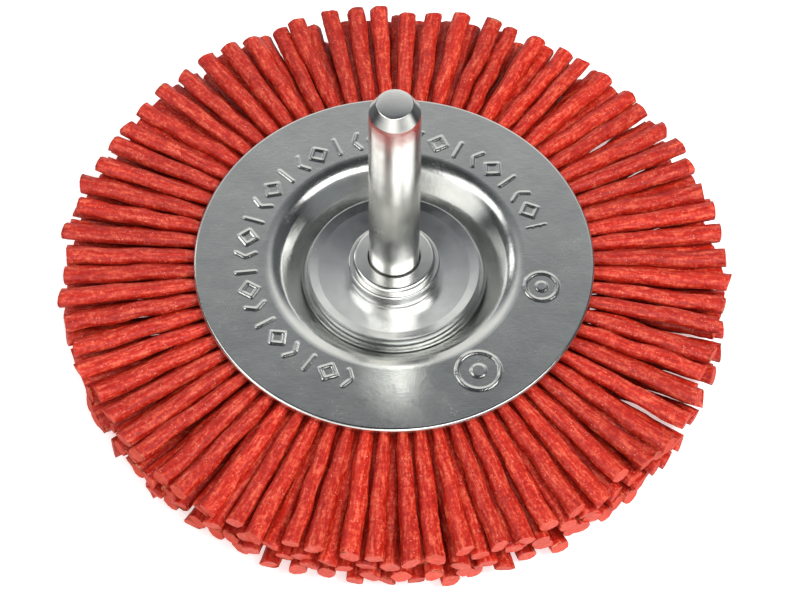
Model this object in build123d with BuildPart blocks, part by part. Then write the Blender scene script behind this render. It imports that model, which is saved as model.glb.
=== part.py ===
from build123d import *
import math
import os

# A wheel brush for a drill, in millimetres. It lies on its back: +Z runs up along the shank, and the origin is on
# the axis, level with the rear plate's flat rim.

# ---- driving dimensions -------------------------------------------------------------------------------------
brush_d = 80.0  # over the filament tips
plate_d = 48.0  # over the side plates
shank_d = 6.0
shank_reach = 30.3  # from the front rim's face to the shank's tip

filament_d = 1.4
core_wire_d = 2.5
core_ring_r = 19.8  # the circle that the core wire follows
slots = 72  # places round the core ring where filaments are folded over it
nested = 2  # hairpins in one slot, one outside the other
tufts = 24  # groups of neighbouring slots
seat_gap = 0.02  # between surfaces that only rest on each other

sheet = 0.8  # side plate thickness
bend_corner_r = 14.3  # where the rim's face and the dish's wall would meet if the bend were sharp
floor_corner_r = 10.9  # the same where the dish's wall meets its floor
bend_radius = 2.8
floor_radius = 1.0

hub_tube_r = 4.0  # the tubular rivet, outside
hub_seat_r = 2.8  # the rivet's bore, filled by the spindle's thinner foot
hub_head_r = 5.0
hub_head_rise = 0.95  # thickness of a rivet head
hub_head_corner = 0.4  # rounding of a head's outer edge
collar_r = 5.5
collar_h = 2.05
collar_edge_radius = 0.2
washer_r = 10.35
washer_seat_r = 5.9  # flat seat round the hub
washer_lip_r = 9.15  # inner edge of the raised lip
washer_seat_h = 1.45  # thickness of the seat
washer_inner_h = 1.8  # height at the lip's inner edge
washer_lip_h = 2.1
lip_land = 0.12  # flat top of the lip
washer_foot_radius = 0.6
tip_flat_r = 2.1  # the flat end of the shank
tip_chamfer_r = 2.8  # the chamfer round it widens to here
tip_chamfer_h = 1.3
tip_taper_h = 2.0  # and a slight taper below that widens to the full shank
shoulder_chamfer = 0.15  # where the shank stands on the rivet's head

mark_h = 0.12  # height of the stamped marks
mark_w = 0.38  # width of their strokes
mark_ring_r = 17.8
mark_size = 2.6
chevron_arm = 1.55  # length of each of a chevron's two arms
chevron_lean = 30.0
marks_of_a_kind = 10
mark_first_angle = 15.0  # the marks run on from here, anticlockwise seen from the front
mark_arc = 246.0
badges = [(2.1, -13.0, 18.0), (2.7, -58.0, 18.7)]  # radius, angle and distance from the axis of each
badge_dot = 1 / 3  # radius of a badge's dot against its ring's

# ---- worked-out dimensions ----------------------------------------------------------------------------------
fold_step = filament_d + seat_gap
first_fold_r = (core_wire_d + filament_d) / 2 + seat_gap
fold_radii = [first_fold_r + layer * fold_step for layer in range(nested)]
plate_gap = 2 * (fold_radii[-1] + filament_d / 2 + seat_gap)
mid_z = plate_gap / 2 + sheet
rim_z = 2 * mid_z  # the front plate's face
floor_h = sheet  # from the middle plane to the face of the dish's floor
collar_foot_h = floor_h + washer_seat_h
head_foot_z = mid_z + collar_foot_h + collar_h
head_top_z = head_foot_z + hub_head_rise
rear_head_foot_z = mid_z - collar_foot_h
rear_head_top_z = rear_head_foot_z - hub_head_rise
tip_z = rim_z + shank_reach
plate_r = plate_d / 2
shank_r = shank_d / 2
tip_r = brush_d / 2
slot_angle = 360 / slots
mark_step = mark_arc / marks_of_a_kind / 3


def save(part, name):
    part.label = name
    export_step(part, f"parts/{name}.step")


os.makedirs("parts", exist_ok=True)

# ---- spindle: a drill shank on a thinner foot, which runs down through the hub -------------------------------
foot_z = rear_head_top_z + seat_gap
shoulder_z = head_top_z + seat_gap
with BuildPart() as spindle:
    with BuildSketch(Plane.XZ):
        with BuildLine():
            Polyline(
                (0, foot_z),
                (hub_seat_r, foot_z),
                (hub_seat_r, shoulder_z),
                (shank_r - shoulder_chamfer, shoulder_z),
                (shank_r, shoulder_z + shoulder_chamfer),
                (shank_r, tip_z - tip_chamfer_h - tip_taper_h),
                (tip_chamfer_r, tip_z - tip_chamfer_h),
                (tip_flat_r, tip_z),
                (0, tip_z),
                close=True,
            )
        make_face()
    revolve(axis=Axis.Z)
save(spindle.part, "spindle")

# ---- hub rivet: a tube round the spindle's foot, with a flat head at each end --------------------------------
with BuildPart() as hub_rivet:
    with BuildSketch(Plane.XZ) as section:
        with BuildLine():
            Polyline(
                (hub_seat_r, head_top_z),
                (hub_head_r, head_top_z),
                (hub_head_r, head_foot_z),
                (hub_tube_r, head_foot_z),
                (hub_tube_r, rear_head_foot_z),
                (hub_head_r, rear_head_foot_z),
                (hub_head_r, rear_head_top_z),
                (hub_seat_r, rear_head_top_z),
                close=True,
            )
        make_face()
        outer_corners = section.vertices().group_by(Axis.X)[-1].sort_by(Axis.Y)
        fillet([outer_corners[0], outer_corners[-1]], radius=hub_head_corner)
    revolve(axis=Axis.Z)
save(hub_rivet.part, "hub_rivet")

# ---- collar: the thick ring that the front head bears on -----------------------------------------------------
with BuildPart() as collar:
    with BuildSketch(Plane.XY.offset(mid_z + collar_foot_h)):
        Circle(collar_r)
        Circle(hub_tube_r, mode=Mode.SUBTRACT)
    extrude(amount=collar_h)
    outer_rims = collar.edges().filter_by(GeomType.CIRCLE).group_by(SortBy.RADIUS)[-1]
    fillet(outer_rims, radius=collar_edge_radius)
save(collar.part, "collar")


# ---- dished washers: one under each end of the rivet ---------------------------------------------------------
def washer(facing):
    """The washer on the front (facing=1) or the back (facing=-1) floor of the dished plates."""

    def at(radius, height):
        return (radius, mid_z + facing * (floor_h + height))

    with BuildPart() as dished:
        with BuildSketch(Plane.XZ) as section:
            with BuildLine():
                Polyline(
                    at(hub_tube_r, 0),
                    at(washer_r, 0),
                    at(washer_r, washer_lip_h),
                    at(washer_r - lip_land, washer_lip_h),
                    at(washer_lip_r, washer_inner_h),
                    at(washer_seat_r, washer_seat_h),
                    at(hub_tube_r, washer_seat_h),
                    close=True,
                )
            make_face()
            outer_corners = section.vertices().group_by(Axis.X)[-1].sort_by(Axis.Y)
            fillet(outer_corners[0 if facing > 0 else -1], radius=washer_foot_radius)
        revolve(axis=Axis.Z)
    return dished.part


save(washer(1), "front_washer")
save(washer(-1), "rear_washer")


# ---- side plates: flat rim, rounded bend, dish with a flat floor ---------------------------------------------
def side_plate(facing):
    """The stamping with its face to the front (facing=1) or to the back (facing=-1), without any marks."""
    rim_face = mid_z + facing * mid_z
    floor_face = mid_z + facing * floor_h
    with BuildPart() as plate:
        with BuildSketch(Plane.XZ):
            with BuildLine():
                face_line = FilletPolyline(
                    (plate_r, rim_face),
                    (bend_corner_r, rim_face),
                    (floor_corner_r, floor_face),
                    (hub_tube_r, floor_face),
                    radius=[bend_radius, floor_radius],
                )
                offset(face_line, amount=sheet, side=Side.LEFT if facing > 0 else Side.RIGHT, mode=Mode.ADD)
            make_face()
        revolve(axis=Axis.Z)
    return plate.part


save(side_plate(-1), "rear_plate")

# The front plate also carries stamped marks: a ring of bars, lozenges and chevrons, and two round badges.
with BuildPart() as front_plate:
    add(side_plate(1))
    with BuildSketch(Plane.XY.offset(rim_z)):
        with PolarLocations(mark_ring_r, marks_of_a_kind, mark_first_angle, mark_arc):
            SlotOverall(mark_size, mark_w)
        with PolarLocations(mark_ring_r, marks_of_a_kind, mark_first_angle + mark_step, mark_arc):
            RegularPolygon(mark_size / 2, 4)
            RegularPolygon(mark_size / 2 - mark_w * math.sqrt(2), 4, mode=Mode.SUBTRACT)
        with PolarLocations(mark_ring_r, marks_of_a_kind, mark_first_angle + 2 * mark_step, mark_arc):
            with Locations((mark_size / 4, 0)):
                SlotOverall(chevron_arm, mark_w, rotation=-chevron_lean)
            with Locations((-mark_size / 4, 0)):
                SlotOverall(chevron_arm, mark_w, rotation=chevron_lean)
        for badge_r, badge_angle, badge_ring_r in badges:
            with PolarLocations(badge_ring_r, 1, badge_angle):
                Circle(badge_r)
                Circle(badge_r - mark_w, mode=Mode.SUBTRACT)
                Circle(badge_r * badge_dot)
    extrude(amount=mark_h)
save(front_plate.part, "front_plate")

# ---- core ring: the wire that the filaments are folded over --------------------------------------------------
with BuildPart() as core_ring:
    with BuildSketch(Plane.XZ):
        with Locations((core_ring_r, mid_z)):
            Circle(core_wire_d / 2)
    revolve(axis=Axis.Z)
save(core_ring.part, "core_ring")


# ---- filaments: hairpins folded over the core ring, two to a slot --------------------------------------------
def hairpin(fold_r):
    """One filament folded in two round the core wire, lying along +X."""
    with BuildPart() as folded:
        with BuildSketch(Plane.YZ.offset(core_ring_r)):
            with Locations((0, mid_z + fold_r), (0, mid_z - fold_r)):
                Circle(filament_d / 2)
        extrude(amount=tip_r - core_ring_r)
        with BuildSketch(Plane.YZ.offset(core_ring_r)):
            with Locations((0, mid_z + fold_r)):
                Circle(filament_d / 2)
        revolve(axis=Axis((core_ring_r, 0, mid_z), (0, -1, 0)), revolution_arc=180)
    return folded.part


hairpins = [hairpin(fold_r) for fold_r in fold_radii]
slots_in_tuft = slots // tufts
for tuft in range(tufts):
    with BuildPart() as bristle_tuft:
        for layer, filament in enumerate(hairpins):
            stagger = slot_angle / 2 * (layer % 2)
            first_angle = tuft * slots_in_tuft * slot_angle + stagger
            with PolarLocations(0, slots_in_tuft, first_angle, slots_in_tuft * slot_angle):
                add(filament)
    save(bristle_tuft.part, f"bristle_tuft_{tuft + 1:02d}")
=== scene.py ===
import math
import random

import bmesh
import bpy
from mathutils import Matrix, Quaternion, Vector, noise


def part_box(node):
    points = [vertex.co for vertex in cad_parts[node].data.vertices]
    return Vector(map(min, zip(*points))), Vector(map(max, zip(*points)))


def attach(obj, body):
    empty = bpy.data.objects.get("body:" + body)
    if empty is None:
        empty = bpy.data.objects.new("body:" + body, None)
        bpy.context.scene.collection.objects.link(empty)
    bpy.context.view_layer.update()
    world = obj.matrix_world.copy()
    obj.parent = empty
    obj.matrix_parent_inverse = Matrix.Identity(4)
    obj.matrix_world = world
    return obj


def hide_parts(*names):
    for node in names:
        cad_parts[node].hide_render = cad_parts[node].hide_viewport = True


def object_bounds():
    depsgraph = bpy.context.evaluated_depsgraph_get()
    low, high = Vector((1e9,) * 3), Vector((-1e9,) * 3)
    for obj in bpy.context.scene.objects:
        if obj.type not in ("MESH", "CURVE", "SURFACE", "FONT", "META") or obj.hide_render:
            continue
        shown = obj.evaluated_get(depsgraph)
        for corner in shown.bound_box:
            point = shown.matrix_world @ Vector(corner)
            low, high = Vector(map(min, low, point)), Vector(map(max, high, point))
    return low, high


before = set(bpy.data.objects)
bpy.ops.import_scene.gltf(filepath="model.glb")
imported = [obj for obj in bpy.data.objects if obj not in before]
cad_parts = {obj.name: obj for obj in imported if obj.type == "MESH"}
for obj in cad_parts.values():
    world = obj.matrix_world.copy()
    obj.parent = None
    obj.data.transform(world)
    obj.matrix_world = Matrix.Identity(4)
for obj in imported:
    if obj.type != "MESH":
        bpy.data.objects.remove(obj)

cad_low, cad_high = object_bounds()
MM = 0.001

# ---- sizes, read from the frame -------------------------------------------------------------------------
_, rear_plate_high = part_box("rear_plate")
spindle_low, spindle_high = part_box("spindle")
collar_low, collar_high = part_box("collar")
rivet_low, rivet_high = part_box("hub_rivet")
washer_low, washer_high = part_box("front_washer")
rear_washer_low, rear_washer_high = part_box("rear_washer")
core_low, core_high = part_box("core_ring")

CORE_WIRE_R = (core_high.z - core_low.z) / 2
CORE_R = core_high.x - CORE_WIRE_R  # the circle that the core wire follows
MID_Z = (core_low.z + core_high.z) / 2
RIM_Z = 2 * MID_Z  # the front rim's face; the rear rim's is at zero
PLATE_R = rear_plate_high.x
BRUSH_R = cad_high.x
SHANK_R = spindle_high.x

# ---- sizes that a box doesn't show, as in the CAD -------------------------------------------------------
SHEET = 0.8 * MM
TUBE_R = 4.0 * MM  # the rivet's tube, which the collar, washers and plates sit round
SEAT_R = 2.8 * MM  # the rivet's bore
SEAT_GAP = 0.02 * MM  # between surfaces that only rest on each other


# ---- node helpers ---------------------------------------------------------------------------------------
COLOUR_A, COLOUR_B, COLOUR_OUT = 6, 7, 2  # where a Mix node keeps its colour sockets


class Nodes:
    """Short calls for a node tree: add() makes a node, link() joins two sockets."""

    def __init__(self, tree):
        self.tree = tree

    def add(self, kind, **settings):
        node = self.tree.nodes.new(kind)
        for key, value in settings.items():
            setattr(node, key, value)
        return node

    def link(self, source, target):
        self.tree.links.new(source, target)

    def fill(self, socket, value):
        """Gives the socket a number or a link from another socket."""
        if isinstance(value, (int, float)):
            socket.default_value = value
        else:
            self.link(value, socket)

    def split(self, vector):
        """The vector's x, y and z."""
        node = self.add("ShaderNodeSeparateXYZ")
        self.link(vector, node.inputs[0])
        return node.outputs

    def spread(self, value, low, high, to_low, to_high, **settings):
        """value mapped from low..high to to_low..to_high."""
        node = self.add("ShaderNodeMapRange", **settings)
        for key, number in (("From Min", low), ("From Max", high), ("To Min", to_low), ("To Max", to_high)):
            node.inputs[key].default_value = number
        self.link(value, node.inputs["Value"])
        return node.outputs["Result"]

    def math(self, operation, *values):
        node = self.add("ShaderNodeMath", operation=operation)
        for socket, value in zip(node.inputs, values):
            self.fill(socket, value)
        return node.outputs["Value"]

    def mix(self, factor, a, b, blend_type="MIX"):
        """Two colours mixed; each is a socket or an (r, g, b)."""
        node = self.add("ShaderNodeMix", data_type="RGBA", blend_type=blend_type)
        self.fill(node.inputs["Factor"], factor)
        for socket, value in ((node.inputs[COLOUR_A], a), (node.inputs[COLOUR_B], b)):
            if isinstance(value, tuple):
                socket.default_value = (*value, 1.0)
            else:
                self.link(value, socket)
        return node.outputs[COLOUR_OUT]


class Shader(Nodes):
    """A node material with its Principled BSDF and the object's coordinates at hand."""

    def __init__(self, name):
        self.material = bpy.data.materials.new(name)
        self.material.use_nodes = True
        super().__init__(self.material.node_tree)
        self.bsdf = self.tree.nodes["Principled BSDF"]
        self.coords = self.add("ShaderNodeTexCoord").outputs["Object"]

    def set(self, **sockets):
        """Fills the Principled BSDF's sockets, named with underscores for spaces."""
        for key, value in sockets.items():
            socket = self.bsdf.inputs[key.replace("_", " ")]
            if isinstance(value, tuple):
                socket.default_value = value
            else:
                self.fill(socket, value)

    def noise(self, scale, detail=4.0, roughness=0.6, vector=None):
        """Noise with features about 1 / scale metres across."""
        node = self.add("ShaderNodeTexNoise")
        node.inputs["Scale"].default_value = scale
        node.inputs["Detail"].default_value = detail
        node.inputs["Roughness"].default_value = roughness
        self.link(vector or self.coords, node.inputs["Vector"])
        return node.outputs["Fac"]

    def stretched(self, x, y, z):
        """Object coordinates multiplied along each axis."""
        node = self.add("ShaderNodeMapping")
        node.inputs["Scale"].default_value = (x, y, z)
        self.link(self.coords, node.inputs["Vector"])
        return node.outputs["Vector"]

    def ramp(self, value, *stops):
        """A colour ramp through (position, (r, g, b)) stops."""
        node = self.add("ShaderNodeValToRGB")
        elements = node.color_ramp.elements
        while len(elements) < len(stops):
            elements.new(0.5)
        for element, (position, colour) in zip(elements, stops):
            element.position = position
            element.color = (*colour, 1.0)
        self.link(value, node.inputs["Fac"])
        return node.outputs["Color"]

    def bump(self, height, strength, distance, normal=None):
        node = self.add("ShaderNodeBump")
        node.inputs["Strength"].default_value = strength
        node.inputs["Distance"].default_value = distance
        self.link(height, node.inputs["Height"])
        if normal:
            self.link(normal, node.inputs["Normal"])
        return node.outputs["Normal"]

    def radius(self):
        """Distance from the brush's axis, in metres."""
        flat = self.stretched(1, 1, 0)
        node = self.add("ShaderNodeVectorMath", operation="LENGTH")
        self.link(flat, node.inputs[0])
        return node.outputs["Value"]

    def along_radius(self, along, across):
        """Coordinates for features drawn out along the radius: 1 / along metres by 1 / across metres."""
        x, y, z = self.split(self.coords)
        middle = (PLATE_R + BRUSH_R) / 2
        joined = self.add("ShaderNodeCombineXYZ")
        self.link(self.math("MULTIPLY", self.radius(), along), joined.inputs[0])
        self.link(self.math("MULTIPLY", self.math("ARCTAN2", y, x), middle * across), joined.inputs[1])
        self.link(self.math("MULTIPLY", z, across), joined.inputs[2])
        return joined.outputs[0]


# ---- materials ------------------------------------------------------------------------------------------
def zinc_plating():
    """Bright zinc on pressed steel: smudged gloss, fine grain and hair scratches."""
    darker, paler = (0.64, 0.65, 0.63), (0.77, 0.78, 0.75)
    s = Shader("zinc_plating")
    smudges = s.spread(s.noise(220, 6, 0.65), 0.35, 0.7, 0.13, 0.23)
    grain = s.spread(s.noise(5000, 3, 0.7), 0.3, 0.7, -0.05, 0.08)
    frost = s.bump(s.noise(2600, 4, 0.7), 0.22, 0.04 * MM)
    fine = s.bump(s.noise(6000, 4, 0.7), 0.14, 0.02 * MM, frost)
    scratches = s.bump(s.noise(1.0, 2, 0.5, s.stretched(400, 9000, 400)), 0.10, 0.02 * MM, fine)
    crossed = s.bump(s.noise(1.0, 2, 0.5, s.stretched(8000, 500, 400)), 0.08, 0.02 * MM, scratches)
    waves = s.bump(s.noise(260, 2, 0.5), 0.10, 0.2 * MM, crossed)
    s.set(
        Metallic=1.0,
        Base_Color=s.ramp(s.noise(140, 5, 0.6), (0.3, darker), (0.7, paler)),
        Roughness=s.math("ADD", smudges, grain),
        Normal=waves,
    )
    return s.material


def turned_steel(name, base, roughness):
    """Plated steel with faint turning lines round the brush's axis."""
    darker = tuple(channel * 0.88 for channel in base)
    s = Shader(name)
    rings = s.add("ShaderNodeTexNoise", noise_dimensions="1D")
    rings.inputs["Scale"].default_value = 9000
    rings.inputs["Detail"].default_value = 2
    s.link(s.radius(), rings.inputs["W"])
    lines = s.bump(rings.outputs["Fac"], 0.12, 0.02 * MM)
    s.set(
        Metallic=1.0,
        Base_Color=s.ramp(s.noise(300, 4, 0.6), (0.3, darker), (0.7, base)),
        Roughness=s.spread(s.noise(500, 5, 0.6), 0.3, 0.7, roughness * 0.8, roughness * 1.25),
        Normal=s.bump(s.noise(5000, 3, 0.6), 0.08, 0.02 * MM, lines),
    )
    return s.material


def abrasive_nylon():
    """Red-orange nylon with grit in it: mottled, with painted highlight streaks along the filaments, slightly
    translucent, rough-skinned, with paler cut ends.
    """
    deep_red, red, pale_red = (0.33, 0.006, 0.002), (0.52, 0.018, 0.006), (0.80, 0.145, 0.072)
    dimmed, plain = (0.78, 0.72, 0.72), (1.0, 1.0, 1.0)  # from the darkest strand to the lightest
    grit_colour, cut_colour = (0.85, 0.38, 0.28), (0.62, 0.070, 0.036)
    s = Shader("abrasive_nylon")
    strand = s.add("ShaderNodeAttribute", attribute_name="strand").outputs["Fac"]
    cut = s.add("ShaderNodeAttribute", attribute_name="cut").outputs["Fac"]
    # painted highlight: streaks drawn out along the radius lighten each filament towards pale red, as if
    # light glinted along it; the rounder blotches are the nylon's own mottling
    highlight_streaks = s.noise(1.0, 3, 0.6, s.along_radius(420, 2600))
    blotches_and_highlight_streaks = s.math("ADD", s.math("MULTIPLY", s.noise(2300, 5, 0.7), 0.5), s.math("MULTIPLY", highlight_streaks, 0.5))
    tone_and_highlights = s.ramp(blotches_and_highlight_streaks, (0.38, deep_red), (0.5, red), (0.64, pale_red))
    body = s.mix(1.0, tone_and_highlights, s.ramp(strand, (0.0, dimmed), (1.0, plain)), "MULTIPLY")
    grit = s.add("ShaderNodeTexVoronoi", feature="F1")
    grit.inputs["Scale"].default_value = 2600
    s.link(s.coords, grit.inputs["Vector"])
    specks = s.spread(grit.outputs["Distance"], 0.12, 0.26, 0.55, 0.0)
    patchy = s.spread(s.noise(900, 2, 0.5), 0.45, 0.62, 0.0, 1.0)
    speckled = s.mix(s.math("MULTIPLY", specks, patchy), body, grit_colour)
    lumps = s.bump(s.noise(1500, 3, 0.6), 0.75, 0.16 * MM)
    s.set(
        Base_Color=s.mix(s.math("MULTIPLY", cut, 0.6), speckled, cut_colour),
        Roughness=s.spread(s.noise(1800, 3, 0.6), 0.3, 0.7, 0.36, 0.58),
        Subsurface_Weight=0.22,
        Subsurface_Radius=(1.0, 0.25, 0.12),
        Subsurface_Scale=0.4 * MM,
        Normal=s.bump(s.noise(4200, 3, 0.6), 0.45, 0.06 * MM, lumps),
    )
    return s.material


def pale_floor():
    """A plain pale studio table, lit a little from within so that it stays near white."""
    duller, paler = (0.90, 0.90, 0.90), (0.92, 0.92, 0.92)
    s = Shader("pale_floor")
    s.set(
        Base_Color=s.ramp(s.noise(6, 3, 0.5), (0.3, duller), (0.7, paler)),
        Roughness=s.spread(s.noise(40, 3, 0.5), 0.3, 0.7, 0.8, 0.9),
        Specular_IOR_Level=0.2,
        Emission_Color=(1.0, 1.0, 1.0, 1.0),
        Emission_Strength=0.45,
    )
    return s.material


ZINC = zinc_plating()
SHANK_STEEL = turned_steel("shank_steel", (0.85, 0.85, 0.82), 0.22)
WASHER_STEEL = turned_steel("washer_steel", (0.78, 0.79, 0.78), 0.22)
WIRE_STEEL = turned_steel("wire_steel", (0.42, 0.42, 0.41), 0.35)
NYLON = abrasive_nylon()
FLOOR = pale_floor()


# ---- mesh helpers ---------------------------------------------------------------------------------------
ROUND = 192  # segments round a small turned piece
ON_AXIS = 1e-7  # a smaller radius than this is on the axis


def ease(value, start, length):
    """0 up to start, 1 from start + length on, with a soft step between them."""
    share = max(0.0, min(1.0, (value - start) / length))
    return share * share * (3 - 2 * share)


def closed_mesh(name, verts, faces):
    """A mesh whose normals all point outwards."""
    mesh = bpy.data.meshes.new(name)
    mesh.from_pydata(verts, [], faces)
    made = bmesh.new()
    made.from_mesh(mesh)
    bmesh.ops.recalc_face_normals(made, faces=made.faces)
    made.to_mesh(mesh)
    made.free()
    return mesh


def finish_piece(mesh, name, material, slot, *nodes):
    """Makes the mesh a piece that rides with the brush and stands for those CAD nodes, which it hides. The
    slot is not used.
    """
    mesh.materials.append(material)
    mesh.shade_smooth()
    piece = bpy.data.objects.new(name, mesh)
    bpy.context.scene.collection.objects.link(piece)
    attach(piece, "root")
    if nodes:
        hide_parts(*nodes)
    return piece


def rounded_outline(corners, arc_points=5, support=0.04 * MM):
    """A closed outline of (r, z) points from (r, z, fillet radius) corners.

    A point at the support distance beyond each end of a fillet keeps the flats shaded flat.
    """
    straight = math.radians(89)  # half turns from here on leave nothing to round
    longest_reach, longest_support = 0.49, 0.2  # shares of an edge that one fillet or support may take
    outline = []
    count = len(corners)
    for i, (r, z, radius) in enumerate(corners):
        here = Vector((r, z))
        before = Vector(corners[i - 1][:2]) - here
        after = Vector(corners[(i + 1) % count][:2]) - here
        to_before, to_after = before.normalized(), after.normalized()
        half_turn = to_before.angle(to_after) / 2
        if radius <= 0 or half_turn > straight:
            outline.append(here)
            continue
        reach = radius / math.tan(half_turn)
        reach = min(reach, longest_reach * before.length, longest_reach * after.length)
        radius = reach * math.tan(half_turn)
        centre = here + (to_before + to_after).normalized() * (radius / math.sin(half_turn))
        first, last = here + to_before * reach, here + to_after * reach
        hold = min(support, longest_support * min(before.length, after.length))
        outline.append(first + to_before * hold)
        start = first - centre
        sweep = start.angle_signed(last - centre)
        for step in range(arc_points + 1):
            turn = -sweep * step / arc_points
            turned = Vector((start.x * math.cos(turn) - start.y * math.sin(turn),
                             start.x * math.sin(turn) + start.y * math.cos(turn)))
            outline.append(centre + turned)
        outline.append(last + to_after * hold)
    return outline


def divided(outline, longest):
    """The closed outline with its long runs cut into runs of at most that length."""
    points = []
    for i, here in enumerate(outline):
        after = outline[(i + 1) % len(outline)]
        cuts = max(1, math.ceil((after - here).length / longest))
        points += [here.lerp(after, step / cuts) for step in range(cuts)]
    return points


def lathe(outline, segments, lift=None):
    """A mesh of the closed (r, z) outline turned round Z. lift(x, y, r, z) may raise a point."""
    verts, faces, starts = [], [], []
    for point in outline:
        starts.append(len(verts))
        if point.x < ON_AXIS:
            verts.append((0.0, 0.0, point.y))
            continue
        for k in range(segments):
            angle = 2 * math.pi * k / segments
            x, y = point.x * math.cos(angle), point.x * math.sin(angle)
            z = point.y + (lift(x, y, point.x, point.y) if lift else 0.0)
            verts.append((x, y, z))
    for i in range(len(outline)):
        j = (i + 1) % len(outline)
        on_axis_i, on_axis_j = outline[i].x < ON_AXIS, outline[j].x < ON_AXIS
        if on_axis_i and on_axis_j:
            continue
        for k in range(segments):
            n = (k + 1) % segments
            if on_axis_i:
                faces.append((starts[i], starts[j] + n, starts[j] + k))
            elif on_axis_j:
                faces.append((starts[i] + k, starts[i] + n, starts[j]))
            else:
                faces.append((starts[i] + k, starts[i] + n, starts[j] + n, starts[j] + k))
    return closed_mesh("turned", verts, faces)


# ---- spindle, rivet, collar and washers -----------------------------------------------------------------
def make_spindle():
    """The shank, chamfered at its tip, on the thinner foot that fills the rivet's bore."""
    top, foot = spindle_high.z, spindle_low.z
    shoulder = rivet_high.z + SEAT_GAP
    shoulder_slope, shoulder_rise = 0.24 * MM, 0.26 * MM
    foot_r = SEAT_R - 0.1 * MM
    dome_step, dome_fall = 0.25 * MM, 0.0014 * MM
    end_face = [(k * dome_step, top - k * k * dome_fall, 0) for k in range(8)]  # very slightly domed
    edge = (2.08 * MM, top - 0.11 * MM, 0.2 * MM)
    chamfer_end = (2.91 * MM, top - 1.6 * MM, 0.12 * MM)
    taper_middle = (2.95 * MM, top - 2.2 * MM, 1.0 * MM)
    taper_end = (SHANK_R, top - 4.0 * MM, 3.0 * MM)
    outline = rounded_outline(end_face + [
        edge, chamfer_end, taper_middle, taper_end,
        (SHANK_R, shoulder + shoulder_rise, 0.08 * MM), (SHANK_R - shoulder_slope, shoulder, 0),
        (foot_r, shoulder, 0), (foot_r, foot, 0.1 * MM), (0.0, foot, 0),
    ])
    mesh = lathe(divided(outline, 1.0 * MM), ROUND)
    finish_piece(mesh, "spindle_turned", SHANK_STEEL, "shank_steel", "spindle")


def make_rivet():
    """The tube with its two heads; the front one has a small countersink round the shank."""
    head_r, front, rear = rivet_high.x, rivet_high.z, rivet_low.z
    front_foot, rear_foot = collar_high.z, 2 * MID_Z - collar_low.z
    sink_depth, sink_width = 0.18 * MM, 0.2 * MM
    slope_width, slope_fall, edge_fall = 0.35 * MM, 0.06 * MM, 0.33 * MM
    front_head = [
        (SEAT_R, front - sink_depth, 0), (SHANK_R, front - sink_depth, 0.05 * MM),
        (SHANK_R + sink_width, front, 0.08 * MM), (head_r - slope_width, front - slope_fall, 0.5 * MM),
        (head_r, front - edge_fall, 0.4 * MM), (head_r, front_foot, 0.06 * MM),
    ]
    tube = [(TUBE_R, front_foot, 0), (TUBE_R, rear_foot, 0)]
    rear_head = [(head_r, rear_foot, 0.06 * MM), (head_r, rear, 0.4 * MM), (SEAT_R, rear, 0.08 * MM)]
    mesh = lathe(divided(rounded_outline(front_head + tube + rear_head), 0.5 * MM), ROUND)
    finish_piece(mesh, "hub_rivet_headed", SHANK_STEEL, "shank_steel", "hub_rivet")


def make_collar():
    """The plain thick ring under the rivet's front head."""
    outline = rounded_outline([
        (TUBE_R, collar_high.z, 0), (collar_high.x, collar_high.z, 0.22 * MM),
        (collar_high.x, collar_low.z, 0.2 * MM), (TUBE_R, collar_low.z, 0),
    ])
    mesh = lathe(divided(outline, 0.5 * MM), ROUND)
    finish_piece(mesh, "collar_turned", SHANK_STEEL, "shank_steel", "collar")


def make_washer(name, node, facing):
    """A dished washer with a raised lip, on the front (facing=1) or the back (facing=-1) floor."""
    low, high = (washer_low, washer_high) if facing > 0 else (rear_washer_low, rear_washer_high)
    floor = low.z if facing > 0 else high.z
    outer_r, lip_r, seat_r = high.x, 9.15 * MM, 5.9 * MM
    lip_h, inner_h, seat_h = 2.1 * MM, 1.82 * MM, 1.45 * MM
    lip_land = 0.16 * MM  # flat top of the lip

    def at(radius, height, fillet):
        return (radius, floor + facing * height, fillet)

    outline = rounded_outline([
        at(TUBE_R, 0, 0), at(outer_r, 0, 0.6 * MM), at(outer_r, lip_h, 0.1 * MM),
        at(outer_r - lip_land, lip_h, 0.06 * MM), at(lip_r, inner_h, 0.3 * MM),
        at(seat_r, seat_h, 1.0 * MM), at(TUBE_R, seat_h, 0),
    ])
    mesh = lathe(divided(outline, 0.5 * MM), ROUND)
    finish_piece(mesh, name, WASHER_STEEL, "zinc_plate", node)


# ---- side plates ----------------------------------------------------------------------------------------
ON_FACE = 0.01 * MM  # a point closer to the rim's face than this is on it
MARK_RING_R = 17.8 * MM
MARK_SIZE = 2.6 * MM
MARK_W = 0.34 * MM  # width of a stroke
MARK_H = 0.12 * MM
MARK_SOFT = 0.12 * MM  # width of the slope at a stroke's edge
CHEVRON_ARM = 1.55 * MM
CHEVRON_LEAN = math.radians(30)
MARKS_OF_A_KIND = 10
MARK_FIRST = 15.0
MARK_ARC = 246.0
MARK_STEP = MARK_ARC / MARKS_OF_A_KIND / 3
BADGES = ((2.1 * MM, -13.0, 18.0 * MM), (2.7 * MM, -58.0, 18.7 * MM))  # radius, angle, distance from the axis
BADGE_DOT = 1 / 3  # radius of a badge's dot against its ring's


def to_segment(x, y, x1, y1, x2, y2):
    """Distance from (x, y) to the segment between the other two points."""
    dx, dy = x2 - x1, y2 - y1
    along = max(0.0, min(1.0, ((x - x1) * dx + (y - y1) * dy) / (dx * dx + dy * dy)))
    return math.hypot(x - x1 - along * dx, y - y1 - along * dy)


def stroke(distance):
    """Height of a stroke's rounded relief at that distance from its middle line."""
    return MARK_H * ease((MARK_W + MARK_SOFT) / 2 - distance, 0, MARK_SOFT)


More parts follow.
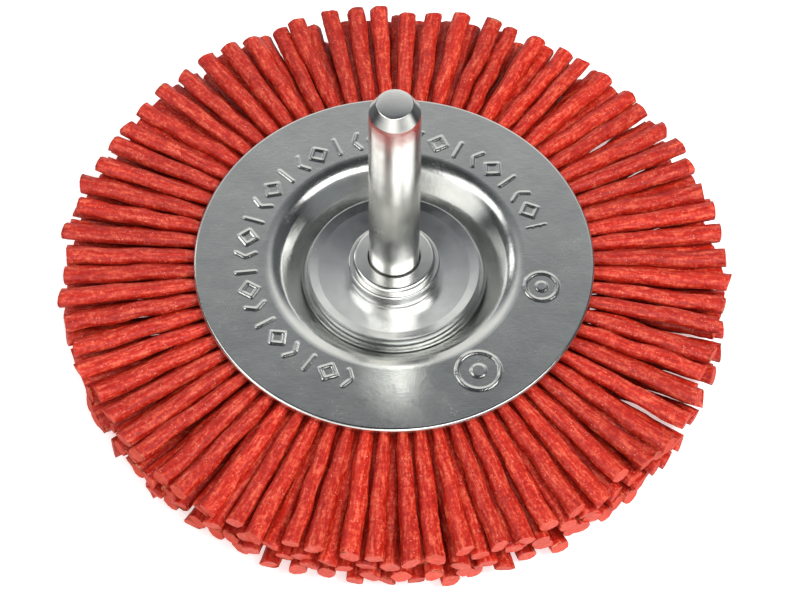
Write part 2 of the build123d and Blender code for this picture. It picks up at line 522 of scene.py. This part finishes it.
def mark_relief(x, y, r, z):
    """Height of the stamped marks on the front rim: bars, lozenges and chevrons in turn, and two badges."""
    if abs(z - RIM_Z) > ON_FACE:
        return 0.0
    for badge_r, badge_angle, ring_r in BADGES:
        away = math.radians(badge_angle)
        gap = math.hypot(x - ring_r * math.cos(away), y - ring_r * math.sin(away))
        if gap < badge_r + MARK_W:
            ring = stroke(abs(gap - badge_r + MARK_W / 2))
            return max(ring, stroke(max(0.0, gap - badge_r * BADGE_DOT + MARK_W / 2)))
    if abs(r - MARK_RING_R) > MARK_SIZE:
        return 0.0
    angle = math.degrees(math.atan2(y, x))
    index = round((angle - MARK_FIRST) % 360 / MARK_STEP)
    if index > 3 * MARKS_OF_A_KIND - 1:
        return 0.0
    away = math.radians(MARK_FIRST + index * MARK_STEP)
    u = x * math.cos(away) + y * math.sin(away) - MARK_RING_R
    v = -x * math.sin(away) + y * math.cos(away)
    kind = index % 3
    if kind == 0:
        half = (MARK_SIZE - MARK_W) / 2
        return stroke(to_segment(u, v, -half, 0, half, 0))
    if kind == 1:
        edge = MARK_SIZE / 2 - MARK_W / math.sqrt(2)
        return stroke(abs(abs(u) + abs(v) - edge) / math.sqrt(2))
    arm = (CHEVRON_ARM - MARK_W) / 2
    reach_u, reach_v = arm * math.cos(CHEVRON_LEAN), arm * math.sin(CHEVRON_LEAN)
    middle = MARK_SIZE / 4
    return max(
        stroke(to_segment(u, v, middle - reach_u, reach_v, middle + reach_u, -reach_v)),
        stroke(to_segment(u, v, -middle - reach_u, -reach_v, -middle + reach_u, reach_v)),
    )


def plate_outline(facing):
    """The pressed sheet's closed half section: flat rim, soft bend, steep wall, flat floor."""
    rim = MID_Z + facing * MID_Z
    floor = MID_Z + facing * SHEET
    back_rim = rim - facing * SHEET
    bend_r, foot_r = 14.3 * MM, 10.9 * MM  # where the face's lines would meet if its bends were sharp
    back_bend_r, back_foot_r = 14.67 * MM, 11.27 * MM  # the same for the sheet's other side
    face = [(PLATE_R, rim, 0.34 * MM), (bend_r, rim, 3.0 * MM), (foot_r, floor, 0.95 * MM),
            (TUBE_R, floor, 0)]
    back = [(TUBE_R, MID_Z, 0), (back_foot_r, MID_Z, 1.6 * MM), (back_bend_r, back_rim, 2.1 * MM),
            (PLATE_R, back_rim, 0.12 * MM)]
    return rounded_outline(face + back, arc_points=7)


def with_fine_rings(outline):
    """The front plate's outline, with the marked part of its flat rim cut finely enough for the marks."""
    low, high, longest = 16.0 * MM, 21.8 * MM, 0.12 * MM
    rings = math.ceil((high - low) / longest)
    points = []
    for i, here in enumerate(outline):
        after = outline[(i + 1) % len(outline)]
        points.append(here)
        on_face = abs(here.y - RIM_Z) < ON_FACE and abs(after.y - RIM_Z) < ON_FACE
        if on_face and here.x > high and after.x < low:
            radii = [low + (high - low) * k / rings for k in range(rings, -1, -1)]
            points += [Vector((radius, RIM_Z)) for radius in radii]
    return points


def make_front_plate():
    """The stamped plate with the marks, in 840 segments. The full 840 segments stay under the
    export's limit of faces.
    """
    segments = 840
    mesh = lathe(with_fine_rings(plate_outline(1)), segments, mark_relief)
    finish_piece(mesh, "front_plate_pressed", ZINC, "zinc_plate", "front_plate")


def make_rear_plate():
    """The same stamping turned over, without the marks."""
    mesh = lathe(plate_outline(-1), segments=288)
    finish_piece(mesh, "rear_plate_pressed", ZINC, "zinc_plate", "rear_plate")


# ---- filaments ------------------------------------------------------------------------------------------
SLOTS = 72
TUFTS = 24
NESTED = 2  # hairpins in one slot, one outside the other
SIDES = 10  # of a filament's cross-section
SLOT_ANGLE = 360 / SLOTS
FILAMENT_R = 0.7 * MM
FIRST_FOLD_R = CORE_WIRE_R + FILAMENT_R + SEAT_GAP
FOLD_STEP = 2 * FILAMENT_R + SEAT_GAP
FOLD_RADII = [FIRST_FOLD_R + layer * FOLD_STEP for layer in range(NESTED)]
TIP_HEIGHTS = (0.95 * MM, 2.75 * MM)  # each layer's height over the middle plane at its tips
TIP_SPREAD = (-0.55 * MM, 0.45 * MM)  # how far from that height a tip may be
EDGE_SPREADS = ((-0.1 * MM, 0.2 * MM), (-0.12 * MM, 0.05 * MM))  # each layer's rise by the plates' edge
USUAL_TIP_R = BRUSH_R - 0.45 * MM
SHORTEST_TIP_R, LONGEST_TIP_R = BRUSH_R - 1.5 * MM, BRUSH_R + 0.3 * MM
TIP_UNEVEN = 0.36 * MM  # standard deviation of the tips' radius
LEAN_UNEVEN = 0.36  # standard deviation of the lean, in degrees
LOWER_LEAN = -0.4  # how much of a clump's pull the lower legs take, the other way
CRIMPS = (0.02 * MM, 0.12 * MM)  # height of the waves along a filament
WAVES = (5.0 * MM, 9.0 * MM)  # their length
BOB = 0.8  # the up-and-down wave against the sideways one, both in height and in turns per millimetre
COARSE_STEP, FINE_STEP = 1.0 * MM, 0.36 * MM  # between a path's points, inside the plates and outside
FINE_FROM_R = PLATE_R - 1.2 * MM
CLUMP_GAPS = (5.0, 14.0)  # degrees between neighbouring clumps
LAST_CLUMP = 356.0  # a clump any later would crowd the first one
CLUMP_PULL = 0.15  # share of the way to its clump that a tip goes
CLUMP_REACH = 5.0  # a clump farther off than this many degrees pulls no harder
SWELLING = 0.22  # how much fuller a filament is outside the plates
UNEVENNESS = 0.05  # how much its thickness varies there
WIDER_AT_PLATES, WIDER_AT_TIPS = 0.1, 0.2  # added to its width, but not to its height
FLATTENING = (0.86, 1.0)  # its shorter way across against its longer one
SPIN = 0.012  # the most that a filament's cross-section turns from one point to the next, in radians
SLANT = 0.3  # a cut end's steepest slope along each axis
BLOCKINESS = 3.2  # 2 would be a round cross-section, and more is squarer
CUT_FACE = 0.94  # size of an end's flat face against the filament
chance = random.Random(7)


def make_clumps():
    """Angles towards which neighbouring filaments lean, unevenly spaced round the wheel."""
    angles, angle = [], 0.0
    while angle < LAST_CLUMP:
        angles.append(angle)
        angle += chance.uniform(*CLUMP_GAPS)
    return angles


CLUMPS = make_clumps()


def clump_pull(angle):
    """Degrees by which the nearest clump draws a filament's tip aside."""
    nearest = min(((centre - angle + 180) % 360 - 180 for centre in CLUMPS), key=abs)
    return CLUMP_PULL * max(-CLUMP_REACH, min(CLUMP_REACH, nearest))


def leg(angle, layer, side):
    """A filament's upper (side=1) or lower (side=-1) leg from fold to tip, as (point, radius) pairs."""
    fold_h = FOLD_RADII[layer]
    tip_h = TIP_HEIGHTS[layer] + chance.uniform(*TIP_SPREAD)
    edge_h = fold_h + chance.uniform(*EDGE_SPREADS[layer])
    tip_r = USUAL_TIP_R + chance.gauss(0, TIP_UNEVEN)
    tip_r = max(SHORTEST_TIP_R, min(LONGEST_TIP_R, tip_r))
    apart = 0.0 if side > 0 else SLOT_ANGLE / 4  # the lower legs show between the upper ones
    pull = clump_pull(angle) * (1 if side > 0 else LOWER_LEAN) + chance.gauss(0, LEAN_UNEVEN)
    crimp = chance.uniform(*CRIMPS)
    wave = chance.uniform(*WAVES)
    phase = chance.uniform(0, 2 * math.pi)
    seed = chance.uniform(0, 100)
    points = []
    radius = CORE_R
    while True:
        free = ease(radius, PLATE_R - 3 * MM, BRUSH_R - PLATE_R)  # to lean aside, slowly
        loose = ease(radius, PLATE_R - 0.5 * MM, 4 * MM)  # to wave, soon after the plates
        height = fold_h + (edge_h - fold_h) * ease(radius, CORE_R + 1 * MM, 5 * MM)
        height += (tip_h - edge_h) * ease(radius, PLATE_R, 14 * MM)
        swing = 2 * math.pi * radius / wave
        sway = crimp * loose * math.sin(swing + phase)
        bob = BOB * crimp * loose * math.sin(BOB * swing + 2 * phase)
        turned = angle + pull * free + apart * ease(radius, CORE_R, 7 * MM)
        at = math.radians(turned) + sway / radius
        lump = noise.noise(Vector((radius / (0.9 * MM), seed, 0)))
        lump += 0.6 * noise.noise(Vector((radius / (0.4 * MM), seed, 9)))
        swelling = SWELLING * ease(radius, PLATE_R - 0.6 * MM, 4 * MM)
        thick = FILAMENT_R * (1 + UNEVENNESS * loose * lump + swelling)
        z = max(thick + SEAT_GAP, MID_Z + side * (height + bob))
        points.append((Vector((radius * math.cos(at), radius * math.sin(at), z)), thick))
        if radius >= tip_r:
            return points
        step = COARSE_STEP if radius < FINE_FROM_R else FINE_STEP
        radius = min(tip_r, radius + step)


def hairpin_path(slot, layer):
    """One filament from tip to tip, as (point, radius) pairs. Every other layer is half a slot further on."""
    angle = SLOT_ANGLE * (slot + 0.5 * (layer % 2))
    upper = leg(angle, layer, 1)
    lower = leg(angle, layer, -1)
    fold = []
    turns = 8
    at = math.radians(angle)
    for step in range(1, turns):
        bend = math.pi * step / turns
        radius = CORE_R - FOLD_RADII[layer] * math.sin(bend)
        z = MID_Z + FOLD_RADII[layer] * math.cos(bend)
        fold.append((Vector((radius * math.cos(at), radius * math.sin(at), z)), FILAMENT_R))
    return upper[::-1] + fold + lower


def add_tube(path, shade, verts, faces, cuts, strands):
    """A closed, blocky tube along the path that widens outwards, with slightly slanted cut ends.

    Every point gets its strand's shade, and a 1 in cuts if it belongs to an end's flat face.
    """
    base = len(verts)
    count = len(path)
    side_hint = Vector((0, 0, 1)).cross(path[0][0]).normalized()
    end_slant = [Vector([chance.uniform(-SLANT, SLANT) for _ in range(3)]) for _ in range(2)]
    squeeze = chance.uniform(*FLATTENING)
    spin = chance.uniform(-SPIN, SPIN)
    twist = chance.uniform(0, math.pi)
    for i, (point, thick) in enumerate(path):
        before = path[max(0, i - 1)][0]
        after = path[min(count - 1, i + 1)][0]
        along = (after - before).normalized()
        across = (side_hint - along * side_hint.dot(along)).normalized()
        up = along.cross(across)
        out = math.hypot(point.x, point.y)
        wide = 1 + WIDER_AT_PLATES * ease(out, PLATE_R, 3 * MM) + WIDER_AT_TIPS * ease(out, 27 * MM, 11 * MM)
        for k in range(SIDES):
            angle = 2 * math.pi * k / SIDES
            turn = angle + twist + i * spin
            square = abs(math.cos(turn)) ** BLOCKINESS + abs(math.sin(turn)) ** BLOCKINESS
            blocky = square ** (-1 / BLOCKINESS)
            flat = blocky * (1 - (1 - squeeze) * (0.5 + 0.5 * math.cos(2 * turn)))
            rim = across * math.cos(angle) * wide + up * math.sin(angle)
            place = point + rim * thick * flat
            if i in (0, count - 1):
                place += along * rim.dot(end_slant[0 if i == 0 else 1]) * thick
            verts.append(place)
            cuts.append(0.0)
            strands.append(shade)
    for i in range(count - 1):
        for k in range(SIDES):
            n = (k + 1) % SIDES
            a, b = base + i * SIDES, base + (i + 1) * SIDES
            faces.append((a + k, a + n, b + n, b + k))
    for i in (0, count - 1):
        start = base + i * SIDES
        first = len(verts)
        centre = sum((verts[start + k] for k in range(SIDES)), Vector()) / SIDES
        for k in range(SIDES):
            verts.append(centre + (verts[start + k] - centre) * CUT_FACE)
            cuts.append(1.0)
            strands.append(shade)
        for k in range(SIDES):
            n = (k + 1) % SIDES
            faces.append((start + k, first + k, first + n, start + n) if i == 0
                         else (start + k, start + n, first + n, first + k))
        inner = [first + k for k in range(SIDES)]
        faces.append(tuple(inner[::-1]) if i else tuple(inner))


def make_tuft(tuft):
    """The filaments of a few neighbouring slots, as one piece."""
    verts, faces, cuts, strands = [], [], [], []
    per_tuft = SLOTS // TUFTS
    for slot in range(tuft * per_tuft, (tuft + 1) * per_tuft):
        for layer in range(NESTED):
            add_tube(hairpin_path(slot, layer), chance.random(), verts, faces, cuts, strands)
    mesh = closed_mesh("tuft", verts, faces)
    for label, values in (("cut", cuts), ("strand", strands)):
        mesh.attributes.new(label, "FLOAT", "POINT").data.foreach_set("value", values)
    number = f"{tuft + 1:02d}"
    finish_piece(mesh, f"filaments_{number}", NYLON, "filament", f"bristle_tuft_{number}")


# ---- stage ----------------------------------------------------------------------------------------------
CAMERA_ELEVATION = 55.92
CAMERA_DISTANCE = 0.320  # from the middle of the front rim
CAMERA_AIM = Vector((0.72 * MM, -6.06 * MM, RIM_Z))
CAMERA_ROLL = 0.5
CAMERA_SENSOR, CAMERA_LENS = 36.0, 120.3
ROOM_COOL, ROOM_WARM = (0.86, 0.92, 1.0), (1.0, 0.99, 0.96)
ROOM_DARK = 0.045
FAR_GLOW, NEAR_GLOW = 0.92, 1.35
# name, azimuth and elevation in degrees, distance, width and height in metres, power, seen in reflections
SOFTBOXES = (
    ("key_right", 41, 55, 0.8, 0.95, 0.30, 3.3, True),
    ("key_left", -81, 52, 0.8, 0.60, 0.30, 1.3, True),
    ("edge_left", -128, 24, 0.8, 0.16, 0.30, 0.3, True),
    ("fill_right", 75, 52, 1.0, 0.5, 0.5, 7.6, False),
    ("fill_overhead", -30, 75, 1.0, 0.8, 0.8, 1.3, False),
)


def make_floor():
    """The table, just under the brush. The metal doesn't mirror it, and reflects the room instead."""
    half = 3.0
    corners = [(-half, -half, 0), (half, -half, 0), (half, half, 0), (-half, half, 0)]
    mesh = bpy.data.meshes.new("floor")
    mesh.from_pydata(corners, [], [(0, 1, 2, 3)])
    mesh.materials.append(FLOOR)
    floor = bpy.data.objects.new("floor", mesh)
    floor.location.z = -0.2 * MM
    floor.visible_glossy = False
    bpy.context.scene.collection.objects.link(floor)


def direction(azimuth, elevation):
    """A unit vector from the brush; azimuth 0 is towards the camera and grows to the right."""
    a, e = math.radians(azimuth), math.radians(elevation)
    return Vector((math.sin(a) * math.cos(e), -math.cos(a) * math.cos(e), math.sin(e)))


def add_softbox(name, azimuth, elevation, distance, width, height, power, mirrored):
    """A rectangular lamp that faces the brush."""
    light = bpy.data.lights.new(name, "AREA")
    light.shape = "RECTANGLE"
    light.size, light.size_y = width, height
    light.energy = power
    lamp = bpy.data.objects.new(name, light)
    back = direction(azimuth, elevation)
    lamp.location = back * distance
    lamp.rotation_mode = "QUATERNION"
    lamp.rotation_quaternion = back.to_track_quat("Z", "Y")
    lamp.visible_glossy = mirrored
    bpy.context.scene.collection.objects.link(lamp)


def make_world():
    """A dim room for the metal to reflect, with almost no light overhead.

    Its far side glows behind the brush but hardly beside it. Its near side glows on the left above the
    horizon, and below the horizon everywhere but on the far left. Brighter parts are warmer.
    """
    world = bpy.data.worlds.new("studio")
    bpy.context.scene.world = world
    world.use_nodes = True
    w = Nodes(world.node_tree)
    x, y, z = w.split(w.add("ShaderNodeTexCoord").outputs["Generated"])

    def ramp(value, low, high, to_low, to_high):
        return w.spread(value, low, high, to_low, to_high, interpolation_type="SMOOTHSTEP")

    far = w.math("MULTIPLY", ramp(y, 0.0, 0.5, 0.0, 1.0), ramp(z, 0.61, 0.96, FAR_GLOW, 0.0))
    behind = ramp(w.math("ABSOLUTE", x), 0.30, 0.62, 1.0, 0.10)
    near = w.math("MULTIPLY", ramp(y, -0.35, 0.0, 1.0, 0.0), ramp(z, 0.62, 0.80, NEAR_GLOW, 0.0))
    above = w.math("MULTIPLY", ramp(z, -0.05, 0.10, 0.0, 1.0), ramp(x, -0.10, 0.50, 1.0, 0.16))
    below = w.math("MULTIPLY", ramp(z, -0.05, 0.10, 1.0, 0.0), ramp(x, -0.62, -0.22, 0.03, 1.0))
    far_light = w.math("MULTIPLY", far, behind)
    near_light = w.math("MULTIPLY", near, w.math("ADD", above, below))
    total = w.math("ADD", w.math("ADD", far_light, near_light), ROOM_DARK)
    background = w.tree.nodes["Background"]
    w.link(w.mix(total, ROOM_COOL, ROOM_WARM), background.inputs["Color"])
    w.link(total, background.inputs["Strength"])


def make_camera():
    """The camera at the photo's angle, looking a little nearer than the rim's middle."""
    data = bpy.data.cameras.new("camera")
    data.sensor_width = CAMERA_SENSOR
    data.lens = CAMERA_LENS
    data.clip_start, data.clip_end = 0.01, 20
    camera = bpy.data.objects.new("camera", data)
    bpy.context.scene.collection.objects.link(camera)
    camera.location = Vector((0, 0, RIM_Z)) + direction(0.0, CAMERA_ELEVATION) * CAMERA_DISTANCE
    camera.rotation_mode = "QUATERNION"
    level = (CAMERA_AIM - camera.location).to_track_quat("-Z", "Y")
    camera.rotation_quaternion = level @ Quaternion((0, 0, 1), math.radians(CAMERA_ROLL))
    bpy.context.scene.camera = camera


# ---- the brush ------------------------------------------------------------------------------------------
make_camera()
make_spindle()
make_rivet()
make_collar()
make_washer("front_washer_dished", "front_washer", 1)
make_washer("rear_washer_dished", "rear_washer", -1)
make_front_plate()
make_rear_plate()
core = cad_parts["core_ring"]
core.data.materials.clear()
core.data.materials.append(WIRE_STEEL)
for tuft in range(TUFTS):
    make_tuft(tuft)

make_floor()
make_world()
for softbox in SOFTBOXES:
    add_softbox(*softbox)
bpy.context.scene.view_settings.view_transform = "Standard"
